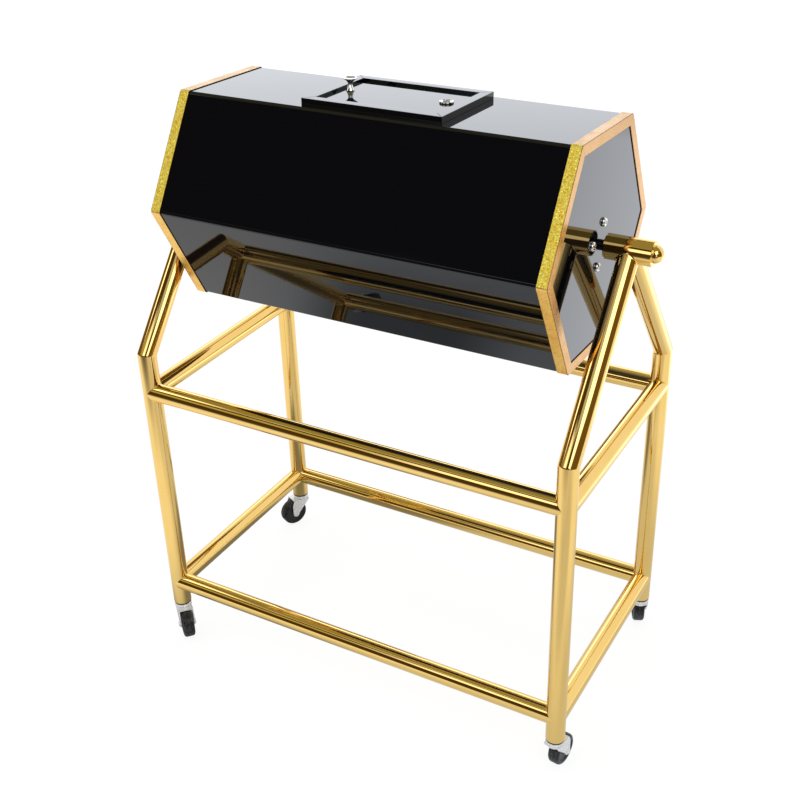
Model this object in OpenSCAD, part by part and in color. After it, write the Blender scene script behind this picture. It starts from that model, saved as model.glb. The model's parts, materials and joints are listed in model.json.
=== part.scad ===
// Hexagonal raffle drum of black acrylic, turning on a rolling stand of gold tube.
// The origin is on the floor under the middle of the stand.
// X runs along the drum, -Y is the front and Z is up.

/* [Drum] */
// Length of the drum over its end trims
drum_len = 670; // [560:5:760]
// Distance from the axle to the outer face of a facet
drum_flat = 168; // [145:1:185]
// Thickness of the six facet panels
facet_t = 5; // [3:0.5:8]
// Thickness of the two end panels
end_t = 6; // [4:0.5:10]
// Turn of the drum about its axle at rest
drum_turn = -2.5; // [-12:0.5:12]

/* [Edge trim] */
// Width of each flange of the angle trim
trim_w = 17; // [10:1:25]
// Thickness of the angle trim
trim_t = 1.5; // [1:0.1:3]

/* [Door] */
// Length of the raised door frame along the drum
door_len = 236; // [180:2:300]
// Strip of the top facet left bare in front of and behind the frame
door_margin = 12; // [6:1:25]
// Width of the frame's bars
door_bar = 16; // [10:1:22]
// Height of the frame above the facet
door_rim_h = 10.5; // [8:0.5:20]
// Width of the ledge that the lid rests on
door_ledge = 6; // [4:0.5:12]
// Thickness of the lid
lid_t = 6; // [3:0.5:8]
// Gap between the lid and the bars around it
lid_gap = 0.5; // [0.3:0.1:2]

/* [Knob and lock] */
// Distance from the knob's axis to the near end of the door opening
knob_in = 9; // [9:0.5:30]
// Distance from the lock's axis to the near end of the door opening
lock_in = 17; // [16:0.5:30]
// How far the knob and the lock stand behind the middle of the lid
fitting_back = 5; // [0:0.5:20]
// Height of the knob's foot
knob_foot_h = 8.5; // [5:0.5:12]
// Height of the neck between the knob's foot and its cup
knob_stem_h = 2; // [1:0.2:14]
// Height of the knob's cup
knob_cup_h = 8.5; // [6:0.5:16]
// Diameter of the knob's flared head
knob_head_d = 22; // [16:1:30]
// Diameter of the knob's neck
knob_neck_d = 6.5; // [6:0.5:10]
// Diameter of the knob's foot
knob_foot_d = 13.5; // [11:0.5:18]
// Diameter of the knob's spindle
spindle_d = 6; // [4:0.5:6]
// Diameter of the lock's head
lock_head_d = 22; // [19:1:28]
// Height of the lock's head above the lid
lock_head_h = 3.2; // [2:0.2:6]
// Radius of the rounded edge of the lock's head
lock_round = 1.8; // [0.6:0.2:1.8]
// Diameter of the lock's threaded barrel
lock_barrel_d = 16; // [14:0.5:17]
// Diameter of the turning plug in the lock
lock_plug_d = 11; // [9:0.5:12]
// Width of the lock nut across its flats
lock_nut_af = 20; // [19:0.5:24]
// Thickness of the lock nut
lock_nut_t = 3; // [2:0.5:3]
// Thickness of the cam and of the latch bar
cam_t = 2; // [1.5:0.5:3]
// How far the cam and the latch bar reach under the facet when shut
cam_catch = 8; // [5:0.5:15]

/* [Axle] */
// Diameter of the stub axles
axle_d = 16; // [12:0.5:20]
// Diameter of the flange inside each end panel
flange_d = 92; // [84:2:120]
// Thickness of the flange
flange_t = 6; // [4:0.5:10]
// Diameter of the circle that the flange bolts lie on
bolt_pcd = 66; // [56:1:74]
// Turn of the bolt pattern from level
bolt_turn = -13; // [-44:1:44]
// Thread diameter of the flange bolts
bolt_d = 8; // [6:0.5:8]
// Diameter of a bolt's domed head
bolt_head_d = 14; // [12:0.5:16]
// Height of a bolt's domed head
bolt_head_h = 4.5; // [3:0.5:6]

/* [Stand] */
// Height of the axle above the floor
axle_h = 840; // [800:5:900]
// Height of the bend where a post turns into its leaning leg
bend_h = 589; // [560:1:620]
// Height of the upper rails' centre lines
upper_rail_h = 519; // [440:1:525]
// Height of the lower rails' centre lines
lower_rail_h = 114; // [110:1:250]
// Distance between the front and back posts
stand_depth = 404; // [360:2:480]
// Outer diameter of the frame tube
tube_d = 32; // [25:1:36]
// Wall of the frame tube
tube_wall = 1.5; // [1.2:0.1:3]
// Outer diameter of the bearing sleeves
sleeve_d = 38; // [36:1:46]
// Wall of the bearing sleeves
sleeve_wall = 2; // [1.5:0.25:3]
// Length of the bearing sleeves
sleeve_len = 72; // [60:1:100]
// Gap between the end of the drum and the sleeve
end_gap = 9; // [6:0.5:20]
// Radius of the dome on a sleeve's outer end
dome_r = 13.4; // [9:0.1:15]
// Length of each bush in the sleeves
bush_len = 12; // [8:1:16]

/* [Casters] */
// Height of the post ends above the floor
caster_h = 68; // [62:0.5:80]
// Diameter of the caster wheels
wheel_d = 54; // [44:1:58]
// Width of the caster wheels
wheel_w = 21.5; // [16:0.5:26]
// Distance from the swivel axis to the wheel's axle
trail = 20.5; // [14:0.5:24]
// Direction in which the front left wheel trails, from +X
front_left_heading = -41; // [-180:1:180]
// Direction in which the front right wheel trails
front_right_heading = 83; // [-180:1:180]
// Direction in which the back left wheel trails
back_left_heading = -116; // [-180:1:180]
// Direction in which the back right wheel trails
back_right_heading = 114; // [-180:1:180]
// Thickness of the fork's sheet
fork_t = 2; // [1.5:0.25:3]
// Diameter of the wheel's axle
wheel_axle_d = 6; // [5:0.5:8]
// Diameter of the caster's swivel head
head_d = 31; // [26:1:36]
// Diameter of the caster's stem in its plug
stem_d = 10; // [8:0.5:12]
// Length of the stem and of its plug
stem_len = 25; // [18:1:40]

/* [Hidden] */

// Clearances
run_fit = 0.05;        // radial clearance of a shaft that turns in a hole
seat_gap = 0.2;        // gap under a piece that lifts off its seat
turn_gap = 0.3;        // gap between flat faces that turn past each other
seam = 0.2;            // open seam between the mitred strips of one ring
bolt_gap = 0.2;        // radial clearance of a bolt or shaft in a plain hole
cam_gap = 1;           // gap between the facet's inner face and the cam under it
past = 1;              // how far a cut runs past the faces that it opens

gold = [0.86, 0.66, 0.27];
glitter = [0.93, 0.74, 0.2];
acrylic = [0.05, 0.05, 0.07];
chrome = [0.8, 0.81, 0.83];
zinc = [0.72, 0.74, 0.76];
black = [0.1, 0.1, 0.1];
nylon = [0.85, 0.84, 0.8];

// Drum, in its own frame: the axle is X through the origin and the top facet faces +Z
side_ratio = tan(30);                         // half a facet's width over its distance
trim_end = drum_len / 2;                      // outer face of the end flange
shell_end = trim_end - trim_t;                // outer face of the end panels and facet ends
end_inner = shell_end - end_t;                // inner face of the end panels
facet_w = 2 * drum_flat * side_ratio;
door_depth = facet_w - 2 * door_margin;
frame_in_len = door_len - 2 * door_bar;
frame_in_depth = door_depth - 2 * door_bar;
hole_len = frame_in_len - 2 * door_ledge;
hole_depth = frame_in_depth - 2 * door_ledge;
lid_z = drum_flat + seat_gap;                 // underside of the lid
lid_top = lid_z + lid_t;
cam_z = drum_flat - facet_t - cam_gap;        // upper face of the cam and latch bar
nut_r = lock_nut_af / 2 / cos(30);
cam_w = 10;
cam_boss_d = 14;
cam_hole_w = 7;
knob_edge = 1;                                // upright edge of the knob's foot
cup_edge = 1.5;                               // upright edge of the knob's cup
cup_bevel = 0.6;
cup_wall = 3;                                 // width of the rim round the cup's shallow dish
cup_dish = 0.8;                               // depth of the dish
plug_recess = 0.4;
key_slot_len = 7;
key_slot_w = 1.6;
key_slot_depth = 4;
flange_x = end_inner - flange_t;
sleeve_in = trim_end + end_gap;               // inner end of the right sleeve
sleeve_out = sleeve_in + sleeve_len;
leg_x = sleeve_in + sleeve_len / 2;           // plane of the right A-frame
cap_plug_len = 7;
cap_gap = 5;                                  // gap between axle end and dome cap
axle_end = sleeve_out - cap_plug_len - cap_gap;
bush_inset = 2;
nut_af = bolt_d * 1.6;                        // a hexagon nut grows with its thread
nut_t = bolt_d * 0.8;
thread_past_nut = 2;

// Stand
post_y = stand_depth / 2;
lean = atan(post_y / (axle_h - bend_h));
leg_len = post_y / sin(lean);
cut = 4 * tube_d;

// Casters
wheel_r = wheel_d / 2;
wheel_gap = 1.5;                              // gap between the wheel and the fork's plate
fork_gap = 1.2;                               // gap between the wheel and the fork's legs
plate_t = fork_t + 0.5;
plate_z = wheel_d + wheel_gap;                // underside of the fork's plate
head_z = plate_z + plate_t + turn_gap;
kingpin_d = 8;
rivet_d = 12;
rivet_t = 2;
head_bevel = 2;                               // bevel on the lower edge of the swivel head
head_edge = 1;                                // bevel on its upper edge
fork_back = head_d / 2 - 4;                   // how far the fork reaches behind the swivel axis
fork_lip = 2;                                 // depth of the fork's cheek at its back edge
fork_front = 2;                               // overhang of the plate past the wheel's axle
fork_brow = 8;                                // depth of the straight front edge of the cheek
fork_out = wheel_w / 2 + fork_gap + fork_t;   // outer face of a fork leg
fork_eye_r = wheel_axle_d / 2 + 4;
axle_head_d = wheel_axle_d + 4;
axle_head_t = 2;
hub_r = wheel_axle_d / 2 + 5;
rim_r = wheel_r - 6;
web_sink = 2.5;
tread_round = 5;
wheel_edge = 0.5;                             // step from the rim to the tread
plug_d = tube_d - 2 * tube_wall;

// Helpers

// Points of a regular hexagon with flat top and bottom, at a given distance to its flats
function hexagon(flat) = [for (i = [0:5]) [cos(60 * i), sin(60 * i)] * flat / cos(30)];

// Band of one side of a hexagonal ring between two distances, less half a seam at each mitre
module band(inner, outer, open = 0) {
    polygon([[-inner * side_ratio + open, inner], [inner * side_ratio - open, inner],
        [outer * side_ratio - open, outer], [-outer * side_ratio + open, outer]]);
}

// Stands a YZ drawing up and extrudes it along X from x0 to x1
module along_x(x0, x1) {
    translate([x0, 0, 0]) rotate([90, 0, 90]) linear_extrude(x1 - x0) children();
}

// Round bar along X
module bar_x(x0, x1, d) {
    translate([x0, 0, 0]) rotate([0, 90, 0]) cylinder(h = x1 - x0, d = d, $fn = 96);
}

// Round bar along Z
module bar_z(z0, z1, d) {
    translate([0, 0, z0]) cylinder(h = z1 - z0, d = d, $fn = 96);
}

// Solid of revolution about X from a profile of [radius, x] points
module turned_x(points) {
    rotate([0, 90, 0]) rotate_extrude($fn = 96) polygon(points);
}

// Puts a piece of the drum where the drum stands at rest
module in_drum() {
    translate([0, 0, axle_h]) rotate([drum_turn, 0, 0]) children();
}

// Mirrors a right-hand piece to side = -1, and a front piece to depth = 1
module placed(side = 1, depth = -1) {
    mirror([side < 0 ? 1 : 0, 0, 0]) mirror([0, depth > 0 ? 1 : 0, 0]) children();
}

// Everything beyond a plane through the origin with normal +Z, as a block
module beyond_plane() {
    translate([-cut / 2, -cut / 2, 0]) cube([cut, cut, cut]);
}

// Stand, drawn for the front right corner and mirrored

module tube_z(len) {
    difference() {
        bar_z(0, len, tube_d);
        bar_z(-past, len + past, tube_d - 2 * tube_wall);
    }
}

module post(side, depth) {
    color(gold) placed(side, depth) translate([leg_x, -post_y, 0]) difference() {
        translate([0, 0, caster_h]) tube_z(bend_h - caster_h + tube_d);
        translate([0, 0, bend_h]) rotate([-lean / 2, 0, 0]) beyond_plane();
    }
}

module leg(side, depth) {
    color(gold) placed(side, depth) difference() {
        translate([leg_x, -post_y, bend_h]) rotate([-lean, 0, 0])
            translate([0, 0, -tube_d]) tube_z(leg_len + tube_d);
        translate([leg_x, -post_y, bend_h]) rotate([180 - lean / 2, 0, 0]) beyond_plane();
        translate([leg_x, 0, axle_h]) rotate([-90, 0, 0]) beyond_plane();
        translate([0, 0, axle_h]) bar_x(sleeve_in - past, sleeve_out + past, sleeve_d);
    }
}

// Block on the side of a 45 degree plane through a corner post that dir points to
module corner_cut(x, y, z, dir) {
    translate([x, y, z]) rotate([0, 90, dir]) beyond_plane();
}

module post_hole(x, y, z) {
    translate([x, y, z]) bar_z(-tube_d, tube_d, tube_d);
}

// Rail along X at the front (depth = -1) or back (depth = 1)
module long_rail(depth, z) {
    color(gold) placed(1, depth) difference() {
        translate([-leg_x, -post_y, z]) rotate([0, 90, 0]) tube_z(2 * leg_x);
        for (s = [-1, 1]) {
            post_hole(s * leg_x, -post_y, z);
            corner_cut(s * leg_x, -post_y, z, 90 - 45 * s);
        }
    }
}

// Rail along Y at the right (side = 1) or left (side = -1)
module side_rail(side, z) {
    color(gold) placed(side, -1) difference() {
        translate([leg_x, -post_y, z]) rotate([-90, 0, 0]) tube_z(2 * post_y);
        for (s = [-1, 1]) {
            post_hole(leg_x, s * post_y, z);
            corner_cut(leg_x, s * post_y, z, 180 - 45 * s);
        }
    }
}

module sleeve(side) {
    color(gold) placed(side) translate([0, 0, axle_h]) difference() {
        bar_x(sleeve_in, sleeve_out, sleeve_d);
        bar_x(sleeve_in - past, sleeve_out + past, sleeve_d - 2 * sleeve_wall);
    }
}

// Plug in the sleeve's end with a dome on its face
module dome_cap(side) {
    arc = [for (a = [0:5:90]) [dome_r * cos(a), sleeve_out + dome_r * sin(a)]];
    plug_r = sleeve_d / 2 - sleeve_wall;
    color(gold) placed(side) translate([0, 0, axle_h])
        turned_x(concat([[0, sleeve_out - cap_plug_len], [plug_r, sleeve_out - cap_plug_len],
            [plug_r, sleeve_out]], arc));
}

module bush(x) {
    translate([0, 0, axle_h]) difference() {
        bar_x(x, x + bush_len, sleeve_d - 2 * sleeve_wall);
        bar_x(x - past, x + bush_len + past, axle_d + 2 * run_fit);
    }
}

module bushes() {
    color(nylon) for (s = [-1, 1]) placed(s) {
        bush(sleeve_in + bush_inset);
        bush(axle_end - bush_inset - bush_len);
    }
}

module post_plugs() {
    color(black) for (s = [-1, 1]) for (d = [-1, 1])
        placed(s, d) translate([leg_x, -post_y, caster_h]) difference() {
            bar_z(0, stem_len, plug_d);
            bar_z(-past, stem_len + past, stem_d);
        }
}

// Casters: the swivel axis is Z and the wheel trails towards +X before it is turned

module at_post(side, depth, heading = 0) {
    translate([side * leg_x, depth * post_y, 0]) rotate([0, 0, heading]) children();
}

module caster_stem(side, depth) {
    color(zinc) at_post(side, depth) {
        rotate_extrude($fn = 96) polygon([[0, head_z], [head_d / 2 - head_bevel, head_z],
            [head_d / 2, head_z + head_bevel], [head_d / 2, caster_h - head_edge],
            [head_d / 2 - head_edge, caster_h], [0, caster_h]]);
        bar_z(caster_h, caster_h + stem_len, stem_d);
        bar_z(plate_z - turn_gap, head_z, kingpin_d);
        bar_z(plate_z - turn_gap - rivet_t, plate_z - turn_gap, rivet_d);
    }
}

// Outline of the fork seen from the side
module fork_side() {
    polygon([[-fork_back, plate_z + plate_t], [-fork_back, plate_z - fork_lip],
        [trail - fork_eye_r, wheel_r], [trail + fork_eye_r, wheel_r],
        [trail + fork_eye_r, plate_z - fork_brow], [trail + fork_front, plate_z + plate_t]]);
    translate([trail, wheel_r]) circle(r = fork_eye_r, $fn = 64);
}

module fork(side, depth, heading) {
    color(zinc) at_post(side, depth, heading) difference() {
        union() {
            for (s = [-1, 1])
                translate([0, s > 0 ? fork_out : fork_t - fork_out, 0]) rotate([90, 0, 0])
                    linear_extrude(fork_t) fork_side();
            translate([-fork_back, -fork_out, plate_z])
                cube([fork_back + trail + fork_front, 2 * fork_out, plate_t]);
            bar_z(plate_z, plate_z + plate_t, head_d);
        }
        bar_z(plate_z - past, plate_z + plate_t + past, kingpin_d + 2 * run_fit);
        translate([trail, 0, wheel_r]) rotate([90, 0, 0])
            cylinder(h = 4 * fork_out, d = wheel_axle_d, center = true, $fn = 96);
    }
}

module wheel_axle(side, depth, heading) {
    color(zinc) at_post(side, depth, heading) translate([trail, 0, wheel_r]) rotate([90, 0, 0]) {
        cylinder(h = 2 * fork_out, d = wheel_axle_d, center = true, $fn = 96);
        for (s = [-1, 1])
            translate([0, 0, s * (fork_out + axle_head_t / 2)])
                cylinder(h = axle_head_t, d = axle_head_d, center = true, $fn = 96);
    }
}

// Half of the wheel's section, as [radius, distance from the middle plane] points
function wheel_half() = concat(
    [[wheel_axle_d / 2 + run_fit, wheel_w / 2], [hub_r, wheel_w / 2],
        [hub_r, wheel_w / 2 - web_sink], [rim_r, wheel_w / 2 - web_sink],
        [rim_r, wheel_w / 2 - wheel_edge]],
    [for (a = [90:-15:0]) [wheel_r - tread_round + tread_round * cos(a),
        wheel_w / 2 - wheel_edge - tread_round + tread_round * sin(a)]]);

module caster_wheel(side, depth, heading) {
    half = wheel_half();
    other = [for (i = [len(half) - 1:-1:0]) [half[i][0], -half[i][1]]];
    color(black) at_post(side, depth, heading) translate([trail, 0, wheel_r]) rotate([90, 0, 0])
        rotate_extrude($fn = 96) polygon(concat(half, other));
}

// Drum shell

// Facet panel number i, counted from the top towards the front
module facet(i) {
    color(acrylic) in_drum() rotate([60 * i, 0, 0]) difference() {
        along_x(-shell_end, shell_end) band(drum_flat - facet_t, drum_flat);
        if (i == 0)
            translate([0, 0, drum_flat]) cube([hole_len, hole_depth, 3 * facet_t], center = true);
    }
}

// Bolt positions on the flange circle
module at_bolts() {
    for (i = [0:3]) rotate([bolt_turn + 90 * i, 0, 0]) translate([0, bolt_pcd / 2, 0]) children();
}

module end_panel(side) {
    color(acrylic) in_drum() mirror([side < 0 ? 1 : 0, 0, 0]) difference() {
        along_x(end_inner, shell_end) polygon(hexagon(drum_flat - facet_t));
        bar_x(end_inner - past, shell_end + past, axle_d + 2 * bolt_gap);
        at_bolts() bar_x(end_inner - past, shell_end + past, bolt_d + 2 * bolt_gap);
    }
}

// Six mitred strips of angle, one on each edge of the drum's end
module trim(side) {
    outer = drum_flat + trim_t;
    color(glitter) in_drum() mirror([side < 0 ? 1 : 0, 0, 0]) for (i = [0:5]) rotate([60 * i, 0, 0]) {
        along_x(trim_end - trim_w, trim_end) band(drum_flat, outer, seam / 2);
        along_x(shell_end, trim_end) band(outer - trim_w, outer, seam / 2);
    }
}

module stub_axle(side) {
    color(black) in_drum() mirror([side < 0 ? 1 : 0, 0, 0]) difference() {
        union() {
            bar_x(flange_x, end_inner, flange_d);
            bar_x(flange_x, axle_end, axle_d);
        }
        at_bolts() bar_x(flange_x - past, end_inner + past, bolt_d + 2 * bolt_gap);
    }
}

// Radius of the sphere that a bolt's domed head is part of
dome_sphere_r = (pow(bolt_head_d / 2, 2) + pow(bolt_head_h, 2)) / (2 * bolt_head_h);

module flange_bolt() {
    centre = shell_end + bolt_head_h - dome_sphere_r;
    rim_angle = acos(bolt_head_d / 2 / dome_sphere_r);
    dome = [for (k = [0:8]) let (a = rim_angle + (90 - rim_angle) * k / 8)
        [k == 8 ? 0 : dome_sphere_r * cos(a), centre + dome_sphere_r * sin(a)]];
    turned_x(concat([[0, shell_end]], dome));
    bar_x(flange_x - nut_t - thread_past_nut, shell_end, bolt_d);
}

module flange_bolts() {
    color(chrome) in_drum() for (s = [-1, 1]) mirror([s < 0 ? 1 : 0, 0, 0]) at_bolts() flange_bolt();
}

module flange_nuts() {
    color(chrome) in_drum() for (s = [-1, 1]) mirror([s < 0 ? 1 : 0, 0, 0]) at_bolts() difference() {
        along_x(flange_x - nut_t, flange_x) circle(d = nut_af / cos(30), $fn = 6);
        bar_x(flange_x - nut_t - past, flange_x + past, bolt_d + 2 * run_fit);
    }
}

// Door

// Mitred bar of the door frame, with its middle at -Y
module door_rail(len, depth) {
    half = len / 2 - seam;
    translate([0, -depth / 2, drum_flat]) linear_extrude(door_rim_h)
        polygon([[-half, 0], [half, 0], [half - door_bar, door_bar], [door_bar - half, door_bar]]);
}

module door_frame() {
    color(acrylic) in_drum() for (a = [0, 180]) rotate([0, 0, a]) {
        door_rail(door_len, door_depth);
        rotate([0, 0, 90]) door_rail(door_depth, door_len);
    }
}

// Places a child on the knob's axis
module at_knob() {
    translate([knob_in - hole_len / 2, fitting_back, 0]) children();
}

// Places a child on the lock's axis
module at_lock() {
    translate([hole_len / 2 - lock_in, fitting_back, 0]) children();
}

module lid() {
    color(acrylic) in_drum() difference() {
        translate([-frame_in_len / 2 + lid_gap, -frame_in_depth / 2 + lid_gap, lid_z])
            cube([frame_in_len - 2 * lid_gap, frame_in_depth - 2 * lid_gap, lid_t]);
        at_lock() bar_z(lid_z - past, lid_top + past, lock_barrel_d);
        at_knob() bar_z(lid_z - past, lid_top + past, spindle_d + 2 * run_fit);
    }
}

// Waisted knob whose head flares like a cup, on a spindle through the lid
module lid_knob() {
    foot_r = knob_foot_d / 2;
    neck_r = knob_neck_d / 2;
    head_r = knob_head_d / 2;
    foot_z = lid_top + turn_gap;
    top = foot_z + knob_foot_h + knob_stem_h + knob_cup_h;
    foot = [for (k = [0:6]) let (t = k / 6)
        [foot_r + (neck_r - foot_r) * sin(90 * t), foot_z + knob_edge + (knob_foot_h - knob_edge) * t]];
    cup = [for (k = [0:8]) let (a = 90 * k / 8)
        [neck_r + (head_r - neck_r) * (1 - cos(a)),
            top - cup_edge - (knob_cup_h - cup_edge) * (1 - sin(a))]];
    bottom = cam_z - cam_t;
    color(chrome) in_drum() at_knob() rotate_extrude($fn = 96)
        polygon(concat(
            [[0, bottom], [spindle_d / 2, bottom], [spindle_d / 2, foot_z], [foot_r, foot_z]], foot, cup,
            [[head_r, top - cup_bevel], [head_r - cup_bevel, top],
                [head_r - cup_wall, top - cup_dish], [0, top - cup_dish]]));
}

// Flat bar with a round end, from its axis to reach along Y
module cam_plate(reach) {
    circle(d = cam_boss_d, $fn = 64);
    translate([-cam_w / 2, 0]) square([cam_w, reach - cam_w / 2]);
    translate([0, reach - cam_w / 2]) circle(d = cam_w, $fn = 64);
}

module knob_latch() {
    color(zinc) in_drum() at_knob() translate([0, 0, cam_z - cam_t]) linear_extrude(cam_t) difference() {
        cam_plate(knob_in + cam_catch);
        circle(d = spindle_d, $fn = 96);
    }
}

module lock_barrel() {
    top = lid_top + lock_head_h;
    head_r = lock_head_d / 2;
    bottom = cam_z + turn_gap;
    plug_r = lock_plug_d / 2 + run_fit;
    edge = [for (a = [0:22.5:90])
        [head_r - lock_round * (1 - cos(a)), top - lock_round * (1 - sin(a))]];
    color(chrome) in_drum() at_lock() rotate_extrude($fn = 96) polygon(concat(
        [[plug_r, bottom], [lock_barrel_d / 2, bottom], [lock_barrel_d / 2, lid_top], [head_r, lid_top]],
        edge, [[plug_r, top]]));
}

module lock_nut() {
    color(chrome) in_drum() at_lock() translate([0, 0, lid_z - lock_nut_t]) difference() {
        cylinder(h = lock_nut_t, r = nut_r, $fn = 6);
        bar_z(-past, lock_nut_t + past, lock_barrel_d + 2 * run_fit);
    }
}

module lock_plug() {
    top = lid_top + lock_head_h - plug_recess;
    color(chrome) in_drum() at_lock() difference() {
        union() {
            bar_z(cam_z, top, lock_plug_d);
            translate([-cam_hole_w / 2, -cam_hole_w / 2, cam_z - cam_t])
                cube([cam_hole_w, cam_hole_w, cam_t + past]);
        }
        translate([-key_slot_w / 2, -key_slot_len / 2, top - key_slot_depth])
            cube([key_slot_w, key_slot_len, key_slot_depth + past]);
    }
}

module lock_cam() {
    color(zinc) in_drum() at_lock() translate([0, 0, cam_z - cam_t]) linear_extrude(cam_t) difference() {
        cam_plate(lock_in + cam_catch);
        square(cam_hole_w, center = true);
    }
}

post(-1, -1);  // post_front_left
post(1, -1);  // post_front_right
post(-1, 1);  // post_back_left
post(1, 1);  // post_back_right
leg(-1, -1);  // leg_front_left
leg(1, -1);  // leg_front_right
leg(-1, 1);  // leg_back_left
leg(1, 1);  // leg_back_right
long_rail(-1, upper_rail_h);  // upper_rail_front
long_rail(1, upper_rail_h);  // upper_rail_back
side_rail(-1, upper_rail_h);  // upper_rail_left
side_rail(1, upper_rail_h);  // upper_rail_right
long_rail(-1, lower_rail_h);  // lower_rail_front
long_rail(1, lower_rail_h);  // lower_rail_back
side_rail(-1, lower_rail_h);  // lower_rail_left
side_rail(1, lower_rail_h);  // lower_rail_right
sleeve(-1);  // sleeve_left
sleeve(1);  // sleeve_right
dome_cap(-1);  // dome_cap_left
dome_cap(1);  // dome_cap_right
bushes();
post_plugs();
caster_stem(-1, -1);  // caster_stem_front_left
caster_stem(1, -1);  // caster_stem_front_right
caster_stem(-1, 1);  // caster_stem_back_left
caster_stem(1, 1);  // caster_stem_back_right
fork(-1, -1, front_left_heading);  // caster_fork_front_left
fork(1, -1, front_right_heading);  // caster_fork_front_right
fork(-1, 1, back_left_heading);  // caster_fork_back_left
fork(1, 1, back_right_heading);  // caster_fork_back_right
wheel_axle(-1, -1, front_left_heading);  // caster_axle_front_left
wheel_axle(1, -1, front_right_heading);  // caster_axle_front_right
wheel_axle(-1, 1, back_left_heading);  // caster_axle_back_left
wheel_axle(1, 1, back_right_heading);  // caster_axle_back_right
caster_wheel(-1, -1, front_left_heading);  // caster_wheel_front_left
caster_wheel(1, -1, front_right_heading);  // caster_wheel_front_right
caster_wheel(-1, 1, back_left_heading);  // caster_wheel_back_left
caster_wheel(1, 1, back_right_heading);  // caster_wheel_back_right
facet(0);  // facet_top
facet(1);  // facet_front_upper
facet(2);  // facet_front_lower
facet(3);  // facet_bottom
facet(4);  // facet_back_lower
facet(5);  // facet_back_upper
end_panel(-1);  // end_panel_left
end_panel(1);  // end_panel_right
trim(-1);  // trim_left
trim(1);  // trim_right
stub_axle(-1);  // axle_left
stub_axle(1);  // axle_right
flange_bolts();
flange_nuts();
door_frame();
lid();
lid_knob();
knob_latch();
lock_barrel();
lock_nut();
lock_plug();
lock_cam();
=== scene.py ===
"""Looks of the raffle drum: glossy black acrylic, gold glitter trim and mirror-gold tube on zinc casters.

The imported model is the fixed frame. Its end panels, axles, bushes and plugs get a finish here. All other
parts are replaced by finer meshes that stand in the same place.
"""
import json
import math

import bmesh
import bpy
from mathutils import Matrix, Vector

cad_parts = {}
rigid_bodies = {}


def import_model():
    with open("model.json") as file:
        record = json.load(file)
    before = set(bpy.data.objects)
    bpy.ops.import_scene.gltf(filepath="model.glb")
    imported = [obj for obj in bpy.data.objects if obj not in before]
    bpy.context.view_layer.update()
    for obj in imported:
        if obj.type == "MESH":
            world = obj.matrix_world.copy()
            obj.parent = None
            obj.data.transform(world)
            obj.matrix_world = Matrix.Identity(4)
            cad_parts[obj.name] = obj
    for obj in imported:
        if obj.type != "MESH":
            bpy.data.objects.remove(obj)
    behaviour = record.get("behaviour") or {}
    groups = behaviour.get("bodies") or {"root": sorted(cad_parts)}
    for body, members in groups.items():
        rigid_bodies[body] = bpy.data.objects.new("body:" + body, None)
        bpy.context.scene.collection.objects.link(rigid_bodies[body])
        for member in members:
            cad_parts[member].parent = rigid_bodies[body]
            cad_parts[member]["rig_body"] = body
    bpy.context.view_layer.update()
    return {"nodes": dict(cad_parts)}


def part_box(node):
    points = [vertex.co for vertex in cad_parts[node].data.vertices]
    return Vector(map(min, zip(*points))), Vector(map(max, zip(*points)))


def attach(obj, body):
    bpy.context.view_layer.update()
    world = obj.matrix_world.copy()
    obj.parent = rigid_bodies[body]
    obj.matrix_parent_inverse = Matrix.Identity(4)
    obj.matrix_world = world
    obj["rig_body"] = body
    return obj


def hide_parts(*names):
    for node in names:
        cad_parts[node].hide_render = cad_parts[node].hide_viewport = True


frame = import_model()
NODES = frame["nodes"]
MM = 0.001
SCENE = bpy.context.scene
SCENE.view_settings.view_transform = "Standard"
X_AXIS = Vector((1, 0, 0))
Y_AXIS = Vector((0, 1, 0))
Z_AXIS = Vector((0, 0, 1))
CORNERS = ("front_left", "front_right", "back_left", "back_right")
SIDES = ("left", "right")
SAME_PLACE = 1e-6


# Places taken from the frame

def middle(node):
    low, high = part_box(node)
    return (low + high) / 2


def body_of(node):
    return NODES[node]["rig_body"]


AXLE = Vector((0, 0, middle("sleeve_right").z))
TUBE_R = (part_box("post_front_left")[1].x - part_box("post_front_left")[0].x) / 2


def widest_face(node):
    """The direction that the largest flat part of a node faces."""
    areas = {}
    for face in NODES[node].data.polygons:
        key = tuple(round(c, 3) for c in face.normal)
        areas[key] = areas.get(key, 0) + face.area
    return Vector(max(areas, key=areas.get)).normalized()


def reach(node, direction, origin=Vector((0, 0, 0))):
    """Lowest and highest place of a node's vertices along a direction from an origin."""
    spots = [(vertex.co - origin).dot(direction) for vertex in NODES[node].data.vertices]
    return min(spots), max(spots)


def copy_of(node):
    """A node's mesh to work on, with the vertices of neighbouring faces joined."""
    bm = bmesh.new()
    bm.from_mesh(NODES[node].data)
    bmesh.ops.remove_doubles(bm, verts=bm.verts, dist=SAME_PLACE)
    return bm


def corners_of(spots):
    """Lowest and highest corner of the box round some places."""
    return Vector(map(min, zip(*spots))), Vector(map(max, zip(*spots)))


def islands(node):
    """Lists of vertex places, one for each separate solid of a node."""
    bm = copy_of(node)
    left = set(bm.verts)
    found = []
    for start in list(bm.verts):
        if start not in left:
            continue
        left.discard(start)
        group = [start]
        for vertex in group:
            for edge in vertex.link_edges:
                other = edge.other_vert(vertex)
                if other in left:
                    left.discard(other)
                    group.append(other)
        found.append([vertex.co.copy() for vertex in group])
    bm.free()
    return found


TOP_NORMAL = widest_face("facet_top")
if TOP_NORMAL.z < 0:
    TOP_NORMAL = -TOP_NORMAL
DRUM_TURN = math.atan2(-TOP_NORMAL.y, TOP_NORMAL.z)
IN_DRUM = Matrix.Translation(AXLE) @ Matrix.Rotation(DRUM_TURN, 4, "X")
TO_DRUM = IN_DRUM.inverted()


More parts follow.
